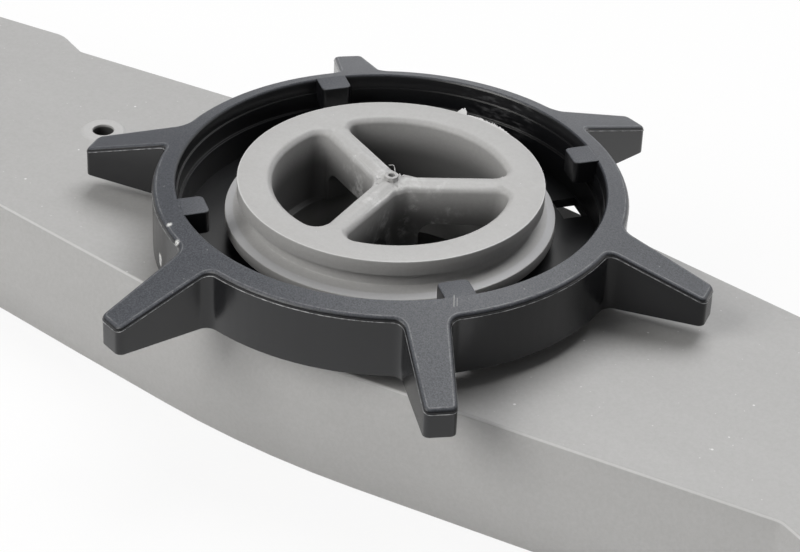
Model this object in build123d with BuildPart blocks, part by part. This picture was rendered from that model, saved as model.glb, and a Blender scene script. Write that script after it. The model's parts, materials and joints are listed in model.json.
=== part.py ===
import os
from math import cos, radians, sin, tan

from build123d import *

os.makedirs("parts", exist_ok=True)

# Dishwasher spray arm, inlet side up: +X along the arm, +Z out of the inlet, millimetres.

# Lock ring.
rim_outer_radius = 30.0
rim_width = 3.0
rim_fall = 1.0
rim_edge = 0.4
ring_height = 9.2
ring_gap = 2.5
upper_step = 0.2
upper_step_depth = 2.0
lower_step = 0.4
lower_step_depth = 4.2
floor_thickness = 1.2
grip_count = 6
grip_angle = 11.1
grip_reach = 12.3
grip_tip_height = 3.8
grip_root_width = 6.1
grip_tip_width = 4.0
grip_root_radius = 1.5
grip_tip_round = 0.9
lug_count = 4
lug_angle = 50.5
lug_width = 4.0
lug_reach = 3.1
lug_height = 3.0
lug_round = 0.7
window_overlap = 1.0
window_side_clearance = 0.25
window_wall_gap = 0.3
rim_inner_radius = rim_outer_radius - rim_width
upper_step_radius = rim_inner_radius - upper_step
lower_step_radius = upper_step_radius - lower_step
lug_inner_radius = rim_inner_radius - lug_reach
window_inner_radius = lug_inner_radius - window_overlap
grip_tip_radius = rim_outer_radius + grip_reach

# Inlet hub, set in the arm's collar; the ring turns below its flange.
flange_inset = 2.0
flange_drop = 4.4
flange_rise = 0.6
flange_thickness = 1.5
hub_rim_inset = 1.5
hub_rim_height = 2.0
hub_rise = 0.1
neck_inset = 0.9
sleeve_inset = 2.3
spigot_step = 1.2
hub_wall = 2.4
hub_ledge = 1.0
barb_step = 0.6
barb_height = 2.4
spoke_count = 3
spoke_angle = 33.0
spoke_width = 3.2
spoke_depth = 5.6
spoke_post_radius = 2.4
spoke_corner_radius = 1.6
spoke_edge_break = 0.6
spider_depth = 10.0
arch_post_gap = 1.2
arch_leg = 1.8
arch_radius = 1.9
gate_radius = 0.95
gate_height = 0.5
gate_dimple_radius = 0.45
gate_sides = 8
ring_running_gap = 0.4
collar_gap = 0.3
spigot_clearance = 0.1
barb_clearance = 0.05
flange_radius = window_inner_radius - flange_inset
hub_rim_radius = flange_radius - hub_rim_inset
neck_radius = hub_rim_radius - neck_inset
sleeve_radius = flange_radius - sleeve_inset
spigot_radius = sleeve_radius - spigot_step
bore_radius = spigot_radius - hub_wall
floor_inner_radius = sleeve_radius + ring_running_gap

# Arm plan: a two-fold diamond, its widest points shifted and well rounded, a lobe on each wing.
arm_length = 380.0
collar_margin = 3.2
corner_shift = 2.9
plain_taper = 8.0
bend_share = 0.32
wing_taper = 3.0
lobe_taper = 5.05
lobe_start_share = 0.345
lobe_run = 5.0
lobe_step = 2.8
waist_radius = 130.0
bend_radius = 80.0
tip_radius = 5.5
lobe_radius = 4.0
lobe_root_radius = 2.0
half_length = arm_length / 2
bend_x = half_length * bend_share
lobe_start = half_length * lobe_start_share
collar_radius = window_inner_radius - collar_gap
collar_bore_radius = spigot_radius + spigot_clearance
arm_half_width = collar_radius + collar_margin
plain_slope = tan(radians(plain_taper))
wing_slope = tan(radians(wing_taper))
lobe_slope = tan(radians(lobe_taper))

# Arm section: flat face, flared upper wall, lower wall leaning in, closed by a let-in cover.
wall = 2.0
upper_wall_height = 9.0
upper_flare = 7.0
lower_wall_height = 7.3
lower_lean = 5.0
tip_rise = 1.2
belly_half_length = 34.0
face_edge_break = 0.3
cover_thickness = 2.0
cover_ledge = 0.8
cover_clearance = 0.1
flare_offset = (upper_wall_height - face_edge_break) * tan(radians(upper_flare))
lean_offset = lower_wall_height * tan(radians(lower_lean))

# Jets: one on the inlet face, a row of slots along each wing of the cover.
face_jet_share = 0.2574
face_jet_y = 3.6
face_jet_radius = 1.45
face_jet_pad_radius = 3.1
face_jet_pad_height = 0.2
face_jet_pad_taper = 60.0
spray_slot_length = 7.5
spray_slot_width = 2.8
spray_first_left = 0.326
spray_first_right = 0.274
spray_pitch_share = 0.185
spray_count = 4

# Levels.
crease_z = lower_wall_height
face_z = crease_z + upper_wall_height
collar_height = ring_gap - collar_gap
collar_top_z = face_z + collar_height
ring_bottom_z = face_z + ring_gap
floor_z = ring_bottom_z + floor_thickness
rim_z = ring_bottom_z + ring_height
hub_top_z = rim_z + hub_rise
flange_edge_z = rim_z - flange_drop
flange_under_z = flange_edge_z - flange_thickness
barb_top_z = face_z - wall - barb_clearance
hub_bottom_z = barb_top_z - barb_height
spider_bottom_z = hub_top_z - spider_depth


def plain_edge(x):
    bend_y = arm_half_width - (bend_x - corner_shift) * plain_slope
    return bend_y - (x - bend_x) * wing_slope


def lobe_edge(x):
    return arm_half_width + lobe_step - (x + corner_shift) * lobe_slope


def wing_centre(x):
    return (plain_edge(x) - lobe_edge(x)) / 2


def arm_outline(grow):
    lobe_end = lobe_start + lobe_run
    wing = [
        (corner_shift, arm_half_width),
        (bend_x, plain_edge(bend_x)),
        (half_length, plain_edge(half_length)),
        (half_length, -lobe_edge(half_length)),
        (lobe_end, -lobe_edge(lobe_end)),
        (lobe_start, lobe_step - lobe_edge(lobe_start)),
    ]
    with BuildSketch() as outline:
        with BuildLine():
            Polyline(wing + [(-x, -y) for x, y in wing], close=True)
        make_face()
        waist = outline.vertices().filter_by(lambda v: abs(v.X) < corner_shift + 1)
        fillet(waist, waist_radius)
        bends = outline.vertices().filter_by(lambda v: abs(abs(v.X) - bend_x) < 0.5)
        fillet(bends, bend_radius)
        tips = outline.vertices().filter_by(lambda v: abs(v.X) > half_length - 1)
        fillet(tips, tip_radius)
        lobes = outline.vertices().filter_by(lambda v: abs(abs(v.X) - lobe_end) < 0.5)
        fillet(lobes, lobe_radius)
        roots = outline.vertices().filter_by(lambda v: abs(abs(v.X) - lobe_start) < 0.5)
        fillet(roots, lobe_root_radius)
        if grow:
            offset(amount=grow)
    return outline.sketch


def belly_cut(lift):
    run = half_length + 5
    deep = -2 * lower_wall_height
    with BuildSketch(Plane.XZ) as profile:
        with BuildLine():
            Polyline(
                (-run, tip_rise + lift),
                (-belly_half_length, lift),
                (belly_half_length, lift),
                (run, tip_rise + lift),
                (run, deep),
                (-run, deep),
                close=True,
            )
        make_face()
    return profile.sketch


# Arm body: flat inlet face with its collar, walls bent at a crease, open below.
with BuildPart() as arm_body:
    with BuildSketch(Plane.XY.offset(face_z)):
        add(arm_outline(-face_edge_break))
    extrude(amount=-face_edge_break, taper=-45)
    with BuildSketch(Plane.XY.offset(face_z - face_edge_break)):
        add(arm_outline(0))
    extrude(amount=face_edge_break - upper_wall_height, taper=-upper_flare)
    with BuildSketch(Plane.XY.offset(crease_z)):
        add(arm_outline(flare_offset))
    extrude(amount=-lower_wall_height, taper=lower_lean)
    with BuildSketch(Plane.XZ):
        add(belly_cut(0))
    extrude(amount=arm_length, both=True, mode=Mode.SUBTRACT)
    with BuildSketch(Plane.XY.offset(face_z - wall)):
        add(arm_outline((wall - face_edge_break) * tan(radians(upper_flare)) - wall))
    extrude(amount=wall - upper_wall_height, taper=-upper_flare, mode=Mode.SUBTRACT)
    with BuildSketch(Plane.XY.offset(crease_z)):
        add(arm_outline(flare_offset - wall))
    extrude(amount=-lower_wall_height, taper=lower_lean, mode=Mode.SUBTRACT)
    with BuildSketch(Plane.XY.offset(face_z)):
        Circle(collar_radius)
    extrude(amount=collar_height)
    with Locations((0, 0, collar_top_z)):
        Hole(collar_bore_radius, depth=collar_height + wall)
    with BuildSketch(Plane.XY.offset(face_z)):
        with Locations((-half_length * face_jet_share, face_jet_y)):
            Circle(face_jet_pad_radius)
    extrude(amount=face_jet_pad_height, taper=face_jet_pad_taper)
    with Locations((-half_length * face_jet_share, face_jet_y, face_z + face_jet_pad_height)):
        Hole(face_jet_radius, depth=face_jet_pad_height + wall)

# Seat of the cover: the rim of the opening, cut back to a ledge.
with BuildPart() as cover_seat:
    with BuildSketch(Plane.XY.offset(-1)):
        add(arm_outline(flare_offset - lean_offset - wall + cover_ledge))
    extrude(amount=cover_thickness + tip_rise + 2)
    with BuildSketch(Plane.XZ):
        add(belly_cut(cover_thickness))
    extrude(amount=arm_length, both=True, mode=Mode.INTERSECT)
with arm_body:
    add(cover_seat.part, mode=Mode.SUBTRACT)
arm_body.part.label = "arm_body"
export_step(arm_body.part, "parts/arm_body.step")

# Arm cover: the closing plate, let into the rim, with the spray slots.
with BuildPart() as arm_cover:
    with BuildSketch(Plane.XY.offset(-1)):
        add(arm_outline(flare_offset - lean_offset - wall + cover_ledge - cover_clearance))
    extrude(amount=cover_thickness + tip_rise + 2)
    with BuildSketch(Plane.XZ):
        add(belly_cut(cover_thickness))
    extrude(amount=arm_length, both=True, mode=Mode.INTERSECT)
    with BuildSketch(Plane.XZ):
        add(belly_cut(0))
    extrude(amount=arm_length, both=True, mode=Mode.SUBTRACT)
    left = [half_length * (spray_first_left + i * spray_pitch_share) for i in range(spray_count)]
    right = [half_length * (spray_first_right + i * spray_pitch_share) for i in range(spray_count)]
    with BuildSketch(Plane.XY):
        with Locations(*[(-x, -wing_centre(x)) for x in left], *[(x, wing_centre(x)) for x in right]):
            SlotOverall(spray_slot_length, spray_slot_width)
    extrude(amount=cover_thickness + tip_rise, mode=Mode.SUBTRACT)
arm_cover.part.label = "arm_cover"
export_step(arm_cover.part, "parts/arm_cover.step")

# Inlet hub: one revolved plug, opened by three rounded sectors that leave the spokes.
with BuildPart() as inlet_hub:
    with BuildSketch(Plane.XZ):
        with BuildLine():
            Polyline(
                (0, hub_top_z),
                (hub_rim_radius, hub_top_z),
                (hub_rim_radius, hub_top_z - hub_rim_height),
                (neck_radius, hub_top_z - hub_rim_height - neck_inset / 3),
                (neck_radius, flange_edge_z + flange_rise),
                (flange_radius, flange_edge_z),
                (flange_radius, flange_under_z),
                (sleeve_radius, flange_under_z),
                (sleeve_radius, collar_top_z),
                (spigot_radius, collar_top_z),
                (spigot_radius, barb_top_z),
                (spigot_radius + barb_step, barb_top_z),
                (spigot_radius, hub_bottom_z),
                (0, hub_bottom_z),
                close=True,
            )
        make_face()
    revolve(axis=Axis.Z)
    with BuildSketch(Plane.XY.offset(hub_bottom_z)):
        Circle(bore_radius - hub_ledge)
    extrude(amount=spider_bottom_z - hub_bottom_z, mode=Mode.SUBTRACT)
    with BuildSketch(Plane.XY.offset(spider_bottom_z)) as sectors:
        Circle(bore_radius)
        with PolarLocations(0, spoke_count, start_angle=spoke_angle):
            Rectangle(
                bore_radius + 1,
                spoke_width,
                align=(Align.MIN, Align.CENTER),
                mode=Mode.SUBTRACT,
            )
        Circle(spoke_post_radius, mode=Mode.SUBTRACT)
        fillet(sectors.vertices(), spoke_corner_radius)
    extrude(amount=spider_depth, mode=Mode.SUBTRACT)
    top = inlet_hub.faces().sort_by(Axis.Z)[-1]
    chamfer([e for loop in top.inner_wires() for e in loop.edges()], spoke_edge_break)
    arch_start = spoke_post_radius + arch_post_gap
    arch_end = bore_radius - arch_leg
    for i in range(spoke_count):
        turn = spoke_angle + i * 360 / spoke_count
        out = (cos(radians(turn)), sin(radians(turn)), 0)
        along = Plane((0, 0, hub_top_z), x_dir=out, z_dir=(out[1], -out[0], 0))
        with BuildSketch(along) as arch:
            with Locations((arch_start, -spoke_depth)):
                Rectangle(arch_end - arch_start, spider_depth, align=(Align.MIN, Align.MAX))
            fillet(arch.vertices().group_by(Axis.Y)[-1], arch_radius)
        extrude(amount=spoke_width, both=True, mode=Mode.SUBTRACT)
    with BuildSketch(Plane.XY.offset(hub_top_z)):
        RegularPolygon(gate_radius, gate_sides)
        RegularPolygon(gate_dimple_radius, gate_sides, mode=Mode.SUBTRACT)
    extrude(amount=gate_height)
inlet_hub.part.label = "inlet_hub"
export_step(inlet_hub.part, "parts/inlet_hub.step")

# Hollow of the lock ring: a stepped bore, less the four lugs that stay flush with the rim.
with BuildPart() as ring_hollow:
    with BuildSketch(Plane.XZ):
        with BuildLine():
            Polyline(
                (0, floor_z),
                (lower_step_radius, floor_z),
                (lower_step_radius, rim_z - lower_step_depth),
                (upper_step_radius, rim_z - lower_step_depth),
                (upper_step_radius, rim_z - upper_step_depth),
                (rim_inner_radius, rim_z - upper_step_depth),
                (rim_inner_radius, rim_z - rim_edge),
                (rim_inner_radius + rim_edge, rim_z),
                (0, rim_z),
                close=True,
            )
        make_face()
    revolve(axis=Axis.Z)
    with BuildSketch(Plane.XY.offset(rim_z)) as lugs:
        with PolarLocations(0, lug_count, start_angle=lug_angle):
            with Locations((lug_inner_radius, 0)):
                Rectangle(lug_reach + rim_width, lug_width, align=(Align.MIN, Align.CENTER))
        inner = lugs.vertices().filter_by(lambda v: v.X**2 + v.Y**2 < (lug_inner_radius + 1) ** 2)
        fillet(inner, lug_round)
    extrude(amount=-lug_height, mode=Mode.SUBTRACT)

# Lock ring: six-armed star cut to a falling top, then hollowed, with a window under each lug.
with BuildPart() as lock_ring:
    with BuildSketch(Plane.XY.offset(ring_bottom_z)) as star:
        Circle(rim_outer_radius)
        with PolarLocations(0, grip_count, start_angle=grip_angle):
            Polygon(
                (rim_inner_radius, -grip_root_width / 2),
                (grip_tip_radius, -grip_tip_width / 2),
                (grip_tip_radius, grip_tip_width / 2),
                (rim_inner_radius, grip_root_width / 2),
                align=None,
            )
        middle = rim_outer_radius + grip_reach / 2
        tips = star.vertices().filter_by(lambda v: v.X**2 + v.Y**2 > middle**2)
        fillet(tips, grip_tip_round)
        roots = star.vertices().filter_by(lambda v: v.X**2 + v.Y**2 < middle**2)
        fillet(roots, grip_root_radius)
    extrude(amount=ring_height)
    with BuildSketch(Plane.XZ):
        with BuildLine():
            Polyline(
                (0, ring_bottom_z),
                (grip_tip_radius + 1, ring_bottom_z),
                (grip_tip_radius + 1, ring_bottom_z + grip_tip_height),
                (grip_tip_radius, ring_bottom_z + grip_tip_height),
                (rim_outer_radius, rim_z - rim_fall),
                (rim_inner_radius, rim_z),
                (0, rim_z),
                close=True,
            )
        make_face()
    revolve(axis=Axis.Z, mode=Mode.INTERSECT)
    add(ring_hollow.part, mode=Mode.SUBTRACT)
    with BuildSketch(Plane.XY.offset(ring_bottom_z)):
        with PolarLocations(0, lug_count, start_angle=lug_angle):
            with Locations((window_inner_radius, 0)):
                Rectangle(
                    lower_step_radius - window_wall_gap - window_inner_radius,
                    lug_width + 2 * window_side_clearance,
                    align=(Align.MIN, Align.CENTER),
                )
    extrude(amount=floor_thickness, mode=Mode.SUBTRACT)
    with Locations((0, 0, floor_z)):
        Hole(floor_inner_radius, depth=floor_thickness)
lock_ring.part.label = "lock_ring"
export_step(lock_ring.part, "parts/lock_ring.step")
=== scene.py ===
import json
from functools import reduce
from math import atan2, ceil, cos, hypot, pi, radians, sin
from random import Random

import bmesh
import bpy
from mathutils import Matrix, Vector
from mathutils.geometry import delaunay_2d_cdt

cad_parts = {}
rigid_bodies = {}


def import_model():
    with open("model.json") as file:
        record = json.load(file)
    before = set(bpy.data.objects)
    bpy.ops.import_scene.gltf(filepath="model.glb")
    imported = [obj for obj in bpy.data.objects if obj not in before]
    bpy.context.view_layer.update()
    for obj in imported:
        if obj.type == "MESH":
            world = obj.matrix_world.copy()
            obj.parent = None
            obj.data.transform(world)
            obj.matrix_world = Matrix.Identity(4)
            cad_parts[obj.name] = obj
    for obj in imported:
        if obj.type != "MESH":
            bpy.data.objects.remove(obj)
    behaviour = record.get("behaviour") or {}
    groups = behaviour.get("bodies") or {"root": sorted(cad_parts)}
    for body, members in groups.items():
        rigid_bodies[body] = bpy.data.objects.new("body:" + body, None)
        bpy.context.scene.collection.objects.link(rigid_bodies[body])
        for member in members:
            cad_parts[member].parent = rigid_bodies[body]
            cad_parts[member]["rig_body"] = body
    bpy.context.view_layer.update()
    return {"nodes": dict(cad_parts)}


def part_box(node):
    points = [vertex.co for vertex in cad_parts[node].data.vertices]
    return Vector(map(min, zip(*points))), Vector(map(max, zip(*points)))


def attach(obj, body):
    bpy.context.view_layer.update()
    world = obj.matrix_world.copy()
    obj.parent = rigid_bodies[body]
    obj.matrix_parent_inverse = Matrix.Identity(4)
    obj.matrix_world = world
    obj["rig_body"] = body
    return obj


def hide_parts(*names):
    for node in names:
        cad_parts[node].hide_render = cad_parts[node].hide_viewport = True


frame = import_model()

MM = 0.001

# Lock ring, as packed, in millimetres.
RIM_OUTER = 30.0
RIM_INNER = 27.0
RIM_FALL = 1.0
GRIP_END = 42.3
GRIP_TIP_HEIGHT = 3.8
FLOOR_THICKNESS = 1.2
FLOOR_HOLE = 19.0
BORE_STEPS = ((27.0, 2.0), (26.8, 4.2), (26.4, 8.0))
LUG_COUNT = 4
LUG_TURN = radians(50.5)
LUG_INNER = 23.9
LUG_WIDTH = 4.0
LUG_HEIGHT = 3.0
LUG_ROUND = 0.7
WINDOW_INNER = 22.9
WINDOW_OUTER = 26.1
WINDOW_WIDTH = 4.5
RING_GAP = 2.5

# Inlet hub and face jet, as packed.
HUB_RIM = 19.4
BORE = 15.0
SPOKE_COUNT = 3
SPOKE_TURN = radians(33.0)
SPOKE_BREAK = 0.6
GATE = 0.95
GATE_HEIGHT = 0.5
JET = (-48.9, 3.6)
JET_BORE = 1.45
JET_PAD = 3.1

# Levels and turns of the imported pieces.
ring_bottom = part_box("lock_ring")[0].z / MM
ring_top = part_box("lock_ring")[1].z / MM
ring_floor = ring_bottom + FLOOR_THICKNESS
arm_face = ring_bottom - RING_GAP
hub_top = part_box("inlet_hub")[1].z / MM - GATE_HEIGHT
lug_turns = [LUG_TURN + 2 * pi * k / LUG_COUNT for k in range(LUG_COUNT)]
spoke_turns = [SPOKE_TURN + 2 * pi * k / SPOKE_COUNT for k in range(SPOKE_COUNT)]

# Moulded edges of the ring: the round, the bead below it, the foot and the inner lip (out, drop).
EDGE_ROUND = 0.46
EDGE_FLAT = 0.13
BEAD = 0.05
BEAD_HIGH = 0.04
BEAD_LOW = 0.1
FOOT = 0.2
LIP = ((0.3, 0.115), (0.22, 0.18), (0.04, 0.36), (0.0, 0.43))

# Moulded edges of the arm, its cover and the hub, and the crown of the spokes.
ARM_EDGE = 0.12
HUB_EDGE = 0.08
SPOKE_EDGE = 0.24
CROWN = 0.34
CROWN_END = 14.0
CROWN_FADE = 2.5

# Marks on the ring: white spots with their reach, scratches with their width.
WHITE_SPOTS = (
    ((-16.6, -24.06, ring_top - 1.0), 0.55),
    ((-13.84, -26.6, ring_top - 1.0), 0.6),
    ((-18.6, -23.5, ring_bottom + 2.5), 0.8),
    ((-18.6, -23.5, ring_bottom + 1.8), 0.6),
)
SCRATCHES = (
    ((20.4, -17.8), (21.2, -19.1), 0.16),
    ((20.9, -17.9), (21.45, -18.8), 0.12),
)

# Curled hairs of flash on the hub.
HAIR_THICKNESS = 0.06
POST_HAIR = (
    (-0.7, 1.9, hub_top - 0.1),
    (-1.3, 2.5, hub_top + 0.2),
    (-1.9, 2.4, hub_top + 0.1),
    (-2.3, 2.9, hub_top - 0.2),
)
SPOKE_HAIR = (
    (2.4, 3.3, hub_top - 1.5),
    (3.0, 3.7, hub_top - 2.1),
    (2.9, 3.6, hub_top - 2.9),
    (3.4, 4.0, hub_top - 3.5),
)

# View of the photograph, seen from the ring's axis at the level of its rim.
VIEW_TURN = radians(31.48)
VIEW_RISE = radians(33.12)
VIEW_ROLL = radians(2.62)
VIEW_DISTANCE = 341.0 * MM
VIEW_SIDE = 1.07 * MM
VIEW_LIFT = -12.19 * MM
VIEW_LENS = 122.15


class Value:
    """A shader socket that can be reckoned with like a number."""

    def __init__(self, nodes, socket):
        self.nodes = nodes
        self.socket = socket

    def reckon(self, operation, *terms):
        node = self.nodes.node("ShaderNodeMath", {"operation": operation}, dict(enumerate(terms)))
        return Value(self.nodes, node.outputs[0])

    def __add__(self, other):
        return self.reckon("ADD", self, other)

    __radd__ = __add__

    def __sub__(self, other):
        return self.reckon("SUBTRACT", self, other)

    def __rsub__(self, other):
        return self.reckon("SUBTRACT", other, self)

    def __mul__(self, other):
        return self.reckon("MULTIPLY", self, other)

    __rmul__ = __mul__

    def __truediv__(self, other):
        return self.reckon("DIVIDE", self, other)

    def __abs__(self):
        return self.reckon("ABSOLUTE", self)

    def high(self, other):
        return self.reckon("MAXIMUM", self, other)

    def root(self):
        return self.reckon("SQRT", self)

    def band(self, start, end):
        """0 below start and 1 above end, with a smooth step between them."""
        node = self.nodes.node(
            "ShaderNodeMapRange",
            {"interpolation_type": "SMOOTHSTEP"},
            {"Value": self, "From Min": start, "From Max": end},
        )
        return Value(self.nodes, node.outputs["Result"])

    def between(self, start, end, soft):
        """1 from start to end, with soft shoulders."""
        return self.band(start - soft, start) * (1 - self.band(end, end + soft))


def any_of(masks):
    """1 where any of the masks is 1."""
    return reduce(Value.high, masks)


class Nodes:
    """A node tree whose nodes are all made in one way."""

    def __init__(self, tree):
        self.tree = tree

    def node(self, kind, settings=None, sockets=None):
        node = self.tree.nodes.new(kind)
        for key, value in (settings or {}).items():
            setattr(node, key, value)
        for key, value in (sockets or {}).items():
            self.feed(node.inputs[key], value)
        return node

    def feed(self, socket, value):
        if isinstance(value, Value):
            value = value.socket
        if isinstance(value, bpy.types.NodeSocket):
            self.tree.links.new(value, socket)
        else:
            socket.default_value = value

    def background_views(self):
        """1 for a straight view of the background, and 1 for a view mirrored in or through a piece."""
        path = self.node("ShaderNodeLightPath")
        straight = Value(self, path.outputs["Is Camera Ray"])
        mirrored = Value(self, path.outputs["Is Glossy Ray"])
        through = Value(self, path.outputs["Is Transmission Ray"])
        return straight, mirrored.high(through)


class Finish(Nodes):
    """One procedural finish: its nodes, laid out in millimetres on the piece."""

    def __init__(self, name):
        self.material = bpy.data.materials.new(name)
        self.material.use_nodes = True
        super().__init__(self.material.node_tree)
        self.surface = self.tree.nodes["Principled BSDF"]
        spot = self.node("ShaderNodeTexCoord").outputs["Object"]
        self.place = self.node(
            "ShaderNodeVectorMath", {"operation": "SCALE"}, {0: spot, "Scale": 1 / MM}
        ).outputs[0]
        self.x, self.y, self.z = self.parts(self.place)
        self.rise = self.parts(self.node("ShaderNodeTexCoord").outputs["Normal"])[2]

    def parts(self, vector):
        split = self.node("ShaderNodeSeparateXYZ", sockets={0: vector})
        return [Value(self, out) for out in split.outputs]

    def stretched(self, x, y, z):
        return self.node(
            "ShaderNodeVectorMath", {"operation": "MULTIPLY"}, {0: self.place, 1: (x, y, z)}
        ).outputs[0]

    def noise(self, scale, detail=2, rough=0.5, place=None):
        sockets = {"Vector": place or self.place, "Scale": scale, "Detail": detail, "Roughness": rough}
        return Value(self, self.node("ShaderNodeTexNoise", sockets=sockets).outputs["Fac"])

    def specks(self, pitch, size, share):
        """1 inside round specks up to the given size, seen from above, in some cells of the given pitch."""
        cells = self.node(
            "ShaderNodeTexVoronoi",
            {"voronoi_dimensions": "2D"},
            {"Vector": self.place, "Scale": 1 / pitch},
        )
        chance, width, _ = self.parts(cells.outputs["Color"])
        reach = (0.3 + width * 0.7) * (size / 2 / pitch)
        inside = 1 - (Value(self, cells.outputs["Distance"]) / reach).band(0.6, 1.0)
        return inside * chance.band(1 - share, 1.001 - share)

    def near(self, point, reach):
        """1 close to a point of the piece, falling to 0 at the reach."""
        gap = self.node("ShaderNodeVectorMath", {"operation": "DISTANCE"}, {0: self.place, 1: point})
        return 1 - Value(self, gap.outputs["Value"]).band(reach * 0.45, reach)

    def stroke(self, start, end, width):
        """1 along a thin straight scratch, seen from above."""
        run = Vector(end) - Vector(start)
        ahead = run.normalized()
        x, y = self.x - start[0], self.y - start[1]
        along = x * ahead.x + y * ahead.y
        aside = abs(y * ahead.x - x * ahead.y)
        return along.between(0, run.length, width) * (1 - aside.band(width * 0.25, width * 0.6))

    def from_axis(self, x=0.0, y=0.0):
        """Distance from an upright axis."""
        across, along = self.x - x, self.y - y
        return (across * across + along * along).root()

    def marked(self, name):
        """A value that the piece's own mesh carries."""
        return Value(self, self.node("ShaderNodeAttribute", {"attribute_name": name}).outputs["Fac"])

    def mix(self, share, first, second):
        node = self.node("ShaderNodeMix", {"data_type": "RGBA"}, {"Factor": share})
        colours = [s for s in node.inputs if s.type == "RGBA"]
        self.feed(colours[0], first)
        self.feed(colours[1], second)
        return next(s for s in node.outputs if s.type == "RGBA")

    def bump(self, height, depth):
        sockets = {"Height": height, "Distance": depth * MM, "Strength": 1.0}
        return self.node("ShaderNodeBump", sockets=sockets).outputs[0]

    def shade(self, colour, roughness, normal):
        self.feed(self.surface.inputs["Base Color"], colour)
        self.feed(self.surface.inputs["Roughness"], roughness)
        self.feed(self.surface.inputs["Normal"], normal)
        return self.material


def grey(level, warm=0.0):
    return (level * (1 + warm), level, level * (1 - warm), 1)


def moulded_grey(finish, level):
    """Pale plastic with a faint flow along the arm and a finer mottle."""
    flow = finish.noise(0.25, 3, 0.6, finish.stretched(0.15, 1, 1))
    mottle = finish.noise(1.8, 5, 0.75)
    share = flow * 0.4 + mottle.band(0.2, 0.8) * 0.6
    return finish.mix(share, grey(level * 0.9, 0.012), grey(level * 1.1, 0.004)), mottle


def arm_plastic():
    """Satin arm: a painted highlight along the ridge round the flat face and on the pad round the jet,
    settled dust, and painted shade on faces turned down and inside the jet.
    """
    finish = Finish("arm_plastic")
    tone, mottle = moulded_grey(finish, 0.43)
    up = finish.rise.band(0.7, 0.95)
    from_jet = finish.from_axis(*JET)
    # Painted highlight: a paler line along the ridge round the flat face.
    ridge_highlight = finish.rise.between(0.6, 0.8, 0.1) * finish.z.band(arm_face - 0.8, arm_face - 0.5)
    ridge_highlight = ridge_highlight * from_jet.band(JET_PAD + 0.4, JET_PAD + 1.4)
    tone = finish.mix(ridge_highlight * 0.45, tone, grey(0.7))
    # Painted highlight: a paler ring on the flank of the jet's pad.
    jet_pad_highlight = from_jet.between(JET_BORE + 0.25, JET_PAD - 0.2, 0.35) * up
    tone = finish.mix(jet_pad_highlight * 0.35, tone, grey(0.6))
    dust = finish.specks(6.0, 0.44, 0.3).high(finish.specks(2.4, 0.26, 0.25) * 0.6)
    tone = finish.mix(dust * up * 0.7, tone, grey(0.85))
    # Painted shade: faces turned down and the inside of the jet are painted nearly black.
    facing_down = 1 - finish.rise.band(-0.6, -0.3)
    in_jet = 1 - from_jet.band(JET_BORE + 0.05, JET_BORE + 0.25)
    shade_below = facing_down.high(in_jet) * finish.z.between(arm_face - 3.8, arm_face - 0.3, 0.3)
    tone = finish.mix(shade_below, tone, grey(0.05))
    grain = finish.noise(4.0, 3, 0.6)
    return finish.shade(tone, 0.46 + mottle * 0.14, finish.bump(grain, 0.02))


def cover_plastic():
    """Cover plate: plain below, with painted shade on its faces turned up, into the arm."""
    finish = Finish("cover_plastic")
    tone, mottle = moulded_grey(finish, 0.41)
    # Painted shade: faces turned up, into the arm, are painted nearly black.
    tone = finish.mix(finish.rise.band(0.5, 0.8), tone, grey(0.05))
    grain = finish.noise(4.0, 3, 0.6)
    return finish.shade(tone, 0.5 + mottle * 0.14, finish.bump(grain, 0.02))


def hub_plastic():
    """Hub: a shade paler, with painted shade in the bore and in the gate's dimple, rubbed white round the
    gate, a line along the rim that is partly wear and partly painted highlight, and a painted reflection on
    the flange.
    """
    finish = Finish("hub_plastic")
    tone, mottle = moulded_grey(finish, 0.45)
    radius = finish.from_axis()
    # Painted shade: the bore is painted darker below its top, and the gate's dimple is painted dark.
    depth = finish.z.band(hub_top - 13, hub_top - 10) * 0.45 + 0.45
    bore_shade = (1 - radius.band(BORE, BORE + 0.4)) * (1 - finish.z.band(hub_top - 5.5, hub_top)) * depth
    dimple_shade = 1 - radius.band(GATE * 0.4, GATE * 0.5)
    tone = finish.mix(bore_shade.high(dimple_shade * 0.8), tone, grey(0.06))
    streaks = finish.noise(0.4, 4, 0.6).band(0.44, 0.66) * finish.noise(1.5, 4, 0.65).band(0.3, 0.7)
    rubbed = finish.near((0.2, 0.5, hub_top), 12.0) * streaks * radius.band(GATE, GATE * 1.5)
    # The line along the rim's top edge is partly rubbed wear and partly a painted highlight.
    edge = radius.band(HUB_RIM - 0.25, HUB_RIM - 0.05) * finish.z.band(hub_top - 0.2, hub_top)
    tone = finish.mix(rubbed.high(edge) * 0.6, tone, grey(0.7))
    # Painted reflection: a pale bluish sheen on the top of the flange.
    flange_reflection = finish.rise.band(0.8, 0.95) * radius.band(HUB_RIM + 0.3, HUB_RIM + 0.6)
    tone = finish.mix(flange_reflection * 0.5, tone, (0.6, 0.605, 0.63, 1))
    lint = finish.specks(3.5, 0.22, 0.3) * finish.rise.band(0.7, 0.95)
    tone = finish.mix(lint * 0.6, tone, grey(0.85))
    grain = finish.noise(4.5, 3, 0.6)
    return finish.shade(tone, 0.42 + mottle * 0.14, finish.bump(grain, 0.018))


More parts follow.
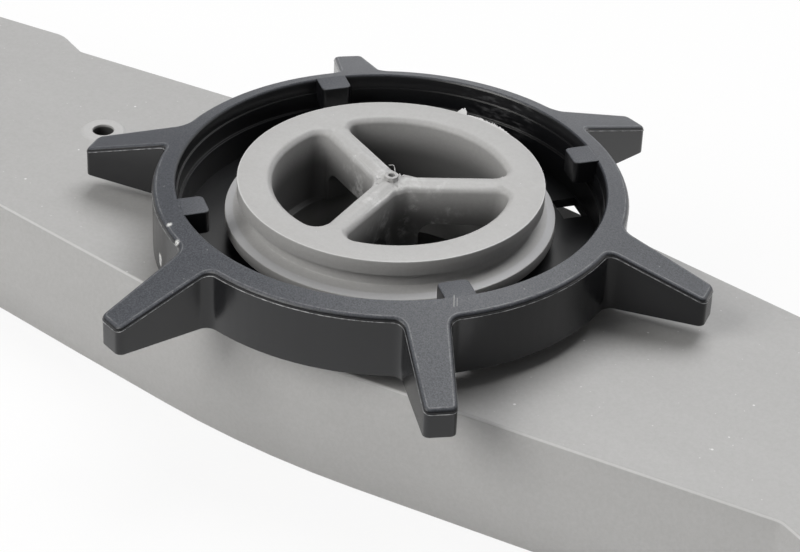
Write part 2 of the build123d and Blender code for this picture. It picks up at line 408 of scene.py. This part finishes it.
def ring_plastic():
    """Charcoal ring: dull grained tops painted paler than the smooth dark walls for top light and sheen,
    and lines along the top edges that are partly wear and partly painted highlight.
    """
    dark_wall = (0.005, 0.0053, 0.0064, 1)
    pale_wall = (0.01, 0.0105, 0.0122, 1)
    bore_wall = (0.0055, 0.0057, 0.0068, 1)
    dark_lit_grain = (0.033, 0.0365, 0.0445, 1)
    pale_lit_grain = (0.095, 0.1, 0.114, 1)
    highlight_and_wear_grey = (0.42, 0.424, 0.43, 1)
    spot_white = (0.75, 0.75, 0.74, 1)
    smear_grey = (0.13, 0.13, 0.135, 1)
    finish = Finish("ring_plastic")
    radius = finish.from_axis()
    hollow = 1 - radius.band(RIM_INNER, RIM_INNER + 0.1)
    outside = radius.band(RIM_INNER, RIM_INNER + 0.25)
    at_rim = finish.z.band(ring_top - 0.35, ring_top - 0.15)
    # Painted light: faces turned up, on the tops and the rim, are painted far paler than the walls for the
    # light from above and the sheen, over the real grain.
    top = finish.rise.band(0.4, 0.85) * outside.high(at_rim)
    speck = finish.noise(5.0, 4, 0.75)
    cloud = finish.noise(0.25, 3, 0.6)
    walls = finish.mix(hollow, finish.mix(cloud, dark_wall, pale_wall), bore_wall)
    lit_tops = finish.mix(speck.band(0.33, 0.67), dark_lit_grain, pale_lit_grain)
    tone = finish.mix(top, walls, lit_tops)
    # Along the top edges: broken lines that are partly real wear and partly a painted highlight.
    worn_and_lit = finish.marked("wear_and_highlight") * (0.2 + finish.noise(0.9, 4, 0.75).band(0.38, 0.62) * 0.8)
    tone = finish.mix(worn_and_lit, tone, highlight_and_wear_grey)
    # White spots at the listed points, broken up by the grain.
    white_spotted = any_of(finish.near(place, reach) for place, reach in WHITE_SPOTS)
    tone = finish.mix(white_spotted * speck.band(0.38, 0.5), tone, spot_white)
    scuffed = finish.specks(2.2, 0.28, 0.16) * top
    scratched = any_of(finish.stroke(*line) for line in SCRATCHES) * top
    tone = finish.mix((scuffed * 0.5).high(scratched * 0.8), tone, grey(0.3))
    smear = finish.near((0.5, RIM_INNER, ring_top - 0.8), 7.0) * hollow
    smear = smear * finish.noise(0.8, 4, 0.65, finish.stretched(0.5, 1, 1.6)).band(0.46, 0.68)
    tone = finish.mix(smear * 0.5, tone, smear_grey)
    roughness = 0.2 + top * 0.24 + hollow * 0.06 + cloud * 0.08
    return finish.shade(tone, roughness, finish.bump(speck * (0.25 + top * 0.75), 0.03))


def shown(name, shape, material, body, node=None):
    """Makes a built shape a piece of the object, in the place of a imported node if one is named."""
    mesh = bpy.data.meshes.new(name)
    shape.to_mesh(mesh)
    shape.free()
    mesh.polygons.foreach_set("use_smooth", [True] * len(mesh.polygons))
    mesh.set_sharp_from_angle(angle=radians(40))
    mesh.materials.append(material)
    piece = bpy.data.objects.new(name, mesh)
    bpy.context.scene.collection.objects.link(piece)
    if node:
        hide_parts(node)
    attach(piece, body)


def rolled(shape, edges, radius, segments):
    """Rolls edges over to a round of the given radius."""
    bmesh.ops.bevel(
        shape,
        geom=edges,
        offset=radius,
        offset_type="OFFSET",
        segments=segments,
        profile=0.5,
        affect="EDGES",
    )


def hard_edges(shape, test):
    """Hard edges whose middle, in millimetres, passes the test."""
    found = []
    for edge in shape.edges:
        middle = (edge.verts[0].co + edge.verts[1].co) / 2 / MM
        if edge.is_manifold and edge.calc_face_angle() > radians(30) and test(middle):
            found.append(edge)
    return found


def softened(node, material, rolls, reshape=None):
    """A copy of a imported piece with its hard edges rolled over, shown in the piece's place."""
    source = frame["nodes"][node]
    shape = bmesh.new()
    shape.from_mesh(source.data)
    bmesh.ops.remove_doubles(shape, verts=shape.verts, dist=0.06 * MM)
    bmesh.ops.dissolve_degenerate(shape, edges=shape.edges, dist=0.03 * MM)
    if reshape:
        reshape(shape)
    for radius, segments, test in rolls:
        rolled(shape, hard_edges(shape, test), radius * MM, segments)
    shown("soft_" + node, shape, material, source["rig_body"], node)


def on_spoke_tops(middle):
    return GATE + 0.2 < hypot(middle.x, middle.y) < BORE + 0.7 and middle.z > hub_top - 1.0


def off_spoke_tops(middle):
    return not on_spoke_tops(middle)


def anywhere(middle):
    return True


def spoke_top_parts(shape):
    """Faces, edges and corners of the hub's flat top."""
    faces = []
    for face in shape.faces:
        if face.normal.z > 0.9 and face.calc_center_median().z > (hub_top - 0.01) * MM:
            faces.append(face)
    edges = dict.fromkeys(e for f in faces for e in f.edges)
    corners = dict.fromkeys(v for f in faces for v in f.verts)
    return [*faces, *edges, *corners]


def crown_spokes(shape):
    """Gives the flat spoke tops a low crown that fades out before the rim."""
    for turn in spoke_turns:
        across = Vector((-sin(turn), cos(turn), 0))
        for shift in (-0.5, 0.0, 0.5):
            bmesh.ops.bisect_plane(
                shape,
                geom=spoke_top_parts(shape),
                dist=1e-7,
                plane_co=across * shift * MM,
                plane_no=across,
            )
    for vertex in shape.verts:
        x, y, z = vertex.co / MM
        fade = min(max((CROWN_END - hypot(x, y)) / CROWN_FADE, 0), 1)
        on_top = abs(z - hub_top) < 0.01
        on_break = abs(z - hub_top + SPOKE_BREAK) < 0.01
        if not fade or not (on_top or on_break):
            continue
        aside = min(abs(y * cos(t) - x * sin(t)) for t in spoke_turns if x * cos(t) + y * sin(t) > -0.8)
        drop = CROWN * min(aside, 1.2) ** 2 if on_top else CROWN
        vertex.co.z -= drop * fade * MM


def ring_fall(radius):
    """Height of the ring's falling top at a radius."""
    if radius < RIM_OUTER:
        return ring_top - RIM_FALL * max(radius - RIM_INNER, 0) / (RIM_OUTER - RIM_INNER)
    drop = ring_top - RIM_FALL - ring_bottom - GRIP_TIP_HEIGHT
    return ring_top - RIM_FALL - drop * (radius - RIM_OUTER) / (GRIP_END - RIM_OUTER)


def star_outline(step):
    """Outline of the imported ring's underside: points in order round the axis, with outward normals."""
    found = set()
    for vertex in frame["nodes"]["lock_ring"].data.vertices:
        x, y, z = vertex.co / MM
        if z < ring_bottom + 0.01 and hypot(x, y) > RIM_OUTER - 0.1:
            found.add((round(x, 3), round(y, 3)))
    corners = sorted(found, key=lambda p: atan2(p[1], p[0]))
    points = []
    for here, ahead in zip(corners, corners[1:] + corners[:1]):
        count = ceil(hypot(ahead[0] - here[0], ahead[1] - here[1]) / step)
        points += [Vector(here).lerp(Vector(ahead), i / count) for i in range(count)]
    normals = []
    for behind, ahead in zip(points[-1:] + points[:-1], points[1:] + points[:1]):
        along = (ahead - behind).normalized()
        normals.append(Vector((along.y, -along.x)))
    return points, normals


def ring_rows():
    """Rows of points from the ring's underside over wall and top into the bore, and how strongly some carry
    the edge lines of wear and painted highlight.
    """
    points, normals = star_outline(0.35)
    bore, _ = BORE_STEPS[-1]

    def inset(depth):
        return [p - n * depth for p, n in zip(points, normals)]

    def circle(radius, height):
        return [(*(p.normalized() * radius), height) for p in inset(EDGE_ROUND + BEAD)]

    def wall(depth, height):
        return [(p.x, p.y, height) for p in inset(depth)]

    def under_top(depth, drop):
        return [(p.x, p.y, ring_fall(p.length) - drop) for p in inset(depth)]

    rows = [
        circle(bore + 0.05, ring_bottom),
        wall(FOOT, ring_bottom),
        wall(FOOT * 0.3, ring_bottom + FOOT * 0.3),
        wall(BEAD, ring_bottom + FOOT),
        under_top(BEAD, EDGE_ROUND + 0.3),
        under_top(BEAD, EDGE_ROUND + BEAD_LOW + 0.04),
    ]
    worn_and_lit = {}
    # The bead's rows and the round's last row carry the edge lines of wear and painted highlight.
    for drop in (BEAD_LOW, BEAD_HIGH):
        worn_and_lit[len(rows)] = 1.0
        rows.append(under_top(0.0, EDGE_ROUND + drop))
    for i in range(7):
        turn = pi / 2 * i / 6
        rows.append(under_top(BEAD + EDGE_ROUND * (1 - cos(turn)), EDGE_ROUND * (1 - sin(turn))))
    worn_and_lit[len(rows) - 1] = 0.4
    rows.append(under_top(EDGE_ROUND + BEAD + EDGE_FLAT, 0.0))
    start = inset(EDGE_ROUND + BEAD + EDGE_FLAT)
    lip = RIM_INNER + 0.38
    for i in range(1, 13):
        row = []
        for p in start:
            reach = p.length + (lip - p.length) * i / 12
            row.append((*(p.normalized() * reach), ring_fall(reach)))
        rows.append(row)
    for out, drop in LIP:
        rows.append(circle(RIM_INNER + out, ring_top - drop))
    for (radius, depth), (inner, _) in zip(BORE_STEPS, BORE_STEPS[1:]):
        rows.append(circle(radius, ring_top - depth + 0.05))
        rows.append(circle(radius - 0.05, ring_top - depth))
        rows.append(circle(inner + 0.05, ring_top - depth))
        rows.append(circle(inner, ring_top - depth - 0.05))
    rows.append(circle(bore, ring_floor))
    return rows, worn_and_lit


def add_rows(shape, rows, worn_and_lit=None):
    """Skins closed rows of points, and keeps how strongly some rows carry the edge lines of wear and
    painted highlight.
    """
    wear_and_highlight = shape.verts.layers.float.new("wear_and_highlight")
    rings = [[shape.verts.new(Vector(p) * MM) for p in row] for row in rows]
    for i, amount in (worn_and_lit or {}).items():
        for vertex in rings[i]:
            vertex[wear_and_highlight] = amount
    for low, high in zip(rings, rings[1:]):
        for i in range(len(low)):
            j = (i + 1) % len(low)
            shape.faces.new((low[i], low[j], high[j], high[i]))


def round_loop(radius, count):
    turns = [2 * pi * i / count for i in range(count)]
    return [Vector((radius * cos(turn), radius * sin(turn))) for turn in turns]


def add_ring_floor(shape):
    """Floor of the ring: a flat plate with its hole and a window under each lug."""
    outer = BORE_STEPS[-1][0] + 0.05
    half = WINDOW_WIDTH / 2
    window = ((WINDOW_INNER, -half), (WINDOW_OUTER, -half), (WINDOW_OUTER, half), (WINDOW_INNER, half))
    loops = [round_loop(outer, 220), round_loop(FLOOR_HOLE, 180)]
    for turn in lug_turns:
        loops.append([Matrix.Rotation(turn, 2) @ Vector(corner) for corner in window])
    flat, fixed = [], []
    for loop in loops:
        first = len(flat)
        flat += loop
        fixed += [(first + i, first + (i + 1) % len(loop)) for i in range(len(loop))]
    spots, _, triangles, *_ = delaunay_2d_cdt(flat, fixed, [], 0, 1e-7)

    def solid(middle):
        if not FLOOR_HOLE < middle.length < outer:
            return False
        for turn in lug_turns:
            local = Matrix.Rotation(-turn, 2) @ middle
            if WINDOW_INNER < local.x < WINDOW_OUTER and abs(local.y) < half:
                return False
        return True

    kept = [t for t in triangles if solid((spots[t[0]] + spots[t[1]] + spots[t[2]]) / 3)]
    upper = {i: shape.verts.new(Vector((*spots[i], ring_floor)) * MM) for t in kept for i in t}
    lower = {i: shape.verts.new(Vector((*spots[i], ring_bottom)) * MM) for t in kept for i in t}
    sides = {}
    for t in kept:
        shape.faces.new([upper[i] for i in t])
        shape.faces.new([lower[i] for i in reversed(t)])
        for a, b in zip(t, t[1:] + t[:1]):
            key = (min(a, b), max(a, b))
            sides[key] = sides.get(key, 0) + 1
    for (a, b), count in sides.items():
        if count == 1:
            shape.faces.new((upper[a], upper[b], lower[b], lower[a]))


def add_lug(shape, turn):
    """One bayonet lug, flush with the rim, its inner corners and top edges rounded."""
    back = RIM_INNER + 0.45
    side = (
        (LUG_INNER, ring_top - LUG_HEIGHT),
        (back, ring_top - LUG_HEIGHT),
        (back, ring_top - 0.19),
        (RIM_INNER, ring_top),
        (LUG_INNER, ring_top),
    )
    lug = bmesh.new()
    near = [lug.verts.new((r, -LUG_WIDTH / 2, z)) for r, z in side]
    far = [lug.verts.new((r, LUG_WIDTH / 2, z)) for r, z in side]
    lug.faces.new(near)
    lug.faces.new(reversed(far))
    for i in range(len(side)):
        j = (i + 1) % len(side)
        lug.faces.new((near[j], near[i], far[i], far[j]))

    def upright_inside(edge):
        first, second = (v.co for v in edge.verts)
        return max(first.x, second.x) < LUG_INNER + 0.01 and first.y == second.y

    def round_top(edge):
        level = all(v.co.z > ring_top - 0.01 for v in edge.verts)
        return level and edge.calc_face_angle() > radians(40)

    rolled(lug, [e for e in lug.edges if upright_inside(e)], LUG_ROUND, 5)
    rolled(lug, [e for e in lug.edges if round_top(e)], 0.22, 4)
    place = Matrix.Rotation(turn, 4, "Z")
    copies = {v: shape.verts.new(place @ v.co * MM) for v in lug.verts}
    for face in lug.faces:
        shape.faces.new([copies[v] for v in face.verts])
    lug.free()


def lock_ring():
    """The star ring in one skin, with its floor and lugs."""
    shape = bmesh.new()
    add_rows(shape, *ring_rows())
    add_ring_floor(shape)
    for turn in lug_turns:
        add_lug(shape, turn)
    bmesh.ops.recalc_face_normals(shape, faces=shape.faces)
    shown("star_ring", shape, ring_plastic(), "ring", "lock_ring")


def ragged_flash(name, material, start, end, tallest, rough, seed):
    """Torn flash along the hub's rim: a thin wedge of uneven height that leans outwards."""
    chance = Random(seed)
    count = max(8, ceil((end - start) * HUB_RIM / 0.12))
    shape = bmesh.new()
    rows = []
    for i in range(count + 1):
        share = i / count
        turn = start + (end - start) * share
        tall = tallest * sin(pi * share) ** 0.7 * (1 - rough * chance.random())
        profile = (
            (HUB_RIM - 0.12, hub_top - 0.02),
            (HUB_RIM + 0.75 * tall, hub_top + 0.42 * tall),
            (HUB_RIM - 0.02, hub_top - 0.16),
        )
        rows.append([shape.verts.new(Vector((r * cos(turn), r * sin(turn), z)) * MM) for r, z in profile])
    for low, high in zip(rows, rows[1:]):
        for i in range(2):
            shape.faces.new((low[i], high[i], high[i + 1], low[i + 1]))
    shown(name, shape, material, "arm")


def smooth_line(points, count):
    """Spots in even steps on a smooth line through the points."""
    last = len(points) - 1
    spots = []
    for i in range(count):
        share = i / (count - 1) * last
        k = min(int(share), last - 1)
        t = share - k
        before, start, end, after = (Vector(points[min(max(j, 0), last)]) for j in range(k - 1, k + 3))
        leave = (end - before) / 2
        arrive = (after - start) / 2
        spot = start * (1 + 2 * t) * (1 - t) ** 2 + end * t * t * (3 - 2 * t)
        spots.append(spot + leave * t * (1 - t) ** 2 + arrive * t * t * (t - 1))
    return spots


def flash_hair(name, material, points):
    """A curled hair of flash: a thin tapered tube along a smooth line."""
    line = smooth_line(points, 25)
    last = len(line) - 1
    rows = []
    for i, spot in enumerate(line):
        along = (line[min(i + 1, last)] - line[max(i - 1, 0)]).normalized()
        side = along.orthogonal().normalized()
        other = along.cross(side)
        thick = HAIR_THICKNESS * (1 - 0.8 * (i / last) ** 2)
        rows.append([spot + (side * cos(pi * k / 3) + other * sin(pi * k / 3)) * thick for k in range(6)])
    shape = bmesh.new()
    add_rows(shape, rows)
    shown(name, shape, material, "arm")


def build_object():
    """The arm, its cover, the hub with its torn flash, and the ring."""
    hub = hub_plastic()
    hub_rolls = [(SPOKE_EDGE, 3, on_spoke_tops), (HUB_EDGE, 2, off_spoke_tops)]
    softened("arm_body", arm_plastic(), [(ARM_EDGE, 3, anywhere)])
    softened("arm_cover", cover_plastic(), [(ARM_EDGE, 3, anywhere)])
    softened("inlet_hub", hub, hub_rolls, crown_spokes)
    lock_ring()
    ragged_flash("rim_nib", hub, radians(92.6), radians(96.6), tallest=1.05, rough=0.35, seed=3)
    ragged_flash("rim_flash", hub, radians(71), radians(92), tallest=0.36, rough=0.8, seed=5)
    flash_hair("post_hair", hub, POST_HAIR)
    flash_hair("spoke_hair", hub, SPOKE_HAIR)


def plain_floor():
    """Pale table top, wide enough for every view and white to look at, but for the object's shadow."""
    mesh = bpy.data.meshes.new("table_top")
    reach = 4.0
    mesh.from_pydata(
        [(-reach, -reach, 0), (reach, -reach, 0), (reach, reach, 0), (-reach, reach, 0)],
        [],
        [(0, 1, 2, 3)],
    )
    floor = bpy.data.objects.new("table_top", mesh)
    bpy.context.scene.collection.objects.link(floor)
    floor.location.z = -0.4 * MM
    finish = Finish("table_white")
    finish.feed(finish.surface.inputs["Base Color"], grey(0.92))
    finish.feed(finish.surface.inputs["Roughness"], 0.9)
    straight, mirrored = finish.background_views()
    share = straight.high(mirrored) * 0.88
    white = finish.node("ShaderNodeEmission", sockets={"Color": grey(1), "Strength": 1.0})
    sockets = {0: share, 1: finish.surface.outputs[0], 2: white.outputs[0]}
    blend = finish.node("ShaderNodeMixShader", sockets=sockets)
    finish.feed(finish.tree.nodes["Material Output"].inputs["Surface"], blend.outputs[0])
    mesh.materials.append(finish.material)


def compass(turn, lift):
    """Direction of a compass turn and a lift, both in degrees."""
    level = cos(radians(lift))
    return Vector((level * cos(radians(turn)), level * sin(radians(turn)), sin(radians(lift))))


def softbox(name, turn, lift, distance, width, height, power, colour=(1, 1, 1)):
    """A soft area lamp aimed at the object from a compass turn and a lift."""
    data = bpy.data.lights.new(name, "AREA")
    data.shape = "RECTANGLE"
    data.size = width
    data.size_y = height
    data.energy = power
    data.color = colour
    lamp = bpy.data.objects.new(name, data)
    bpy.context.scene.collection.objects.link(lamp)
    away = compass(turn, lift) * distance
    lamp.location = away + Vector((0, 0, ring_top * MM))
    lamp.rotation_euler = (-away).to_track_quat("-Z", "Y").to_euler()


def dim_room():
    """A dim white room: its lit back wall shows in the sheen, and a straight view of it is white."""
    world = bpy.data.worlds.new("white_room")
    bpy.context.scene.world = world
    world.use_nodes = True
    room = Nodes(world.node_tree)
    dim = room.tree.nodes["Background"]
    room.feed(dim.inputs["Color"], grey(1))
    room.feed(dim.inputs["Strength"], 0.15)
    white = room.node("ShaderNodeBackground", sockets={"Color": grey(1), "Strength": 1.0})
    ahead = room.node("ShaderNodeTexCoord").outputs["Generated"]
    middle_of_wall = compass(90, 25)
    facing = room.node("ShaderNodeVectorMath", {"operation": "DOT_PRODUCT"}, {0: ahead, 1: middle_of_wall})
    back_wall = Value(room, facing.outputs["Value"]).band(cos(radians(50)), cos(radians(25)))
    straight, mirrored = room.background_views()
    share = straight.high(mirrored * back_wall)
    blend = room.node("ShaderNodeMixShader", sockets={0: share, 1: dim.outputs[0], 2: white.outputs[0]})
    room.feed(room.tree.nodes["World Output"].inputs["Surface"], blend.outputs[0])


def studio():
    """Soft light from high behind and from the left."""
    dim_room()
    softbox("high_softbox", turn=90, lift=65, distance=1.0, width=0.75, height=0.6, power=7.2)
    warm_white = (1.0, 0.99, 0.965)
    softbox("left_softbox", -117, 36, distance=0.85, width=0.5, height=0.5, power=4.5, colour=warm_white)


def photo_camera():
    """Camera at the photograph's viewing angle."""
    ahead = Vector((0, cos(VIEW_RISE), -sin(VIEW_RISE)))
    level = Vector((1, 0, 0))
    above = level.cross(ahead)
    right = cos(VIEW_ROLL) * level + sin(VIEW_ROLL) * above
    top = cos(VIEW_ROLL) * above - sin(VIEW_ROLL) * level
    spot = VIEW_SIDE * right + VIEW_LIFT * top - VIEW_DISTANCE * ahead
    pose = Matrix((right, top, -ahead)).transposed().to_4x4()
    pose.translation = spot
    data = bpy.data.cameras.new("photo_camera")
    data.sensor_fit = "HORIZONTAL"
    data.sensor_width = 36.0
    data.lens = VIEW_LENS
    data.clip_start = 0.01
    camera = bpy.data.objects.new("photo_camera", data)
    bpy.context.scene.collection.objects.link(camera)
    at_rim = Matrix.Translation((0, 0, ring_top * MM))
    camera.matrix_world = at_rim @ Matrix.Rotation(VIEW_TURN, 4, "Z") @ pose
    bpy.context.scene.camera = camera


build_object()
plain_floor()
studio()
photo_camera()
bpy.context.scene.view_settings.view_transform = "Standard"
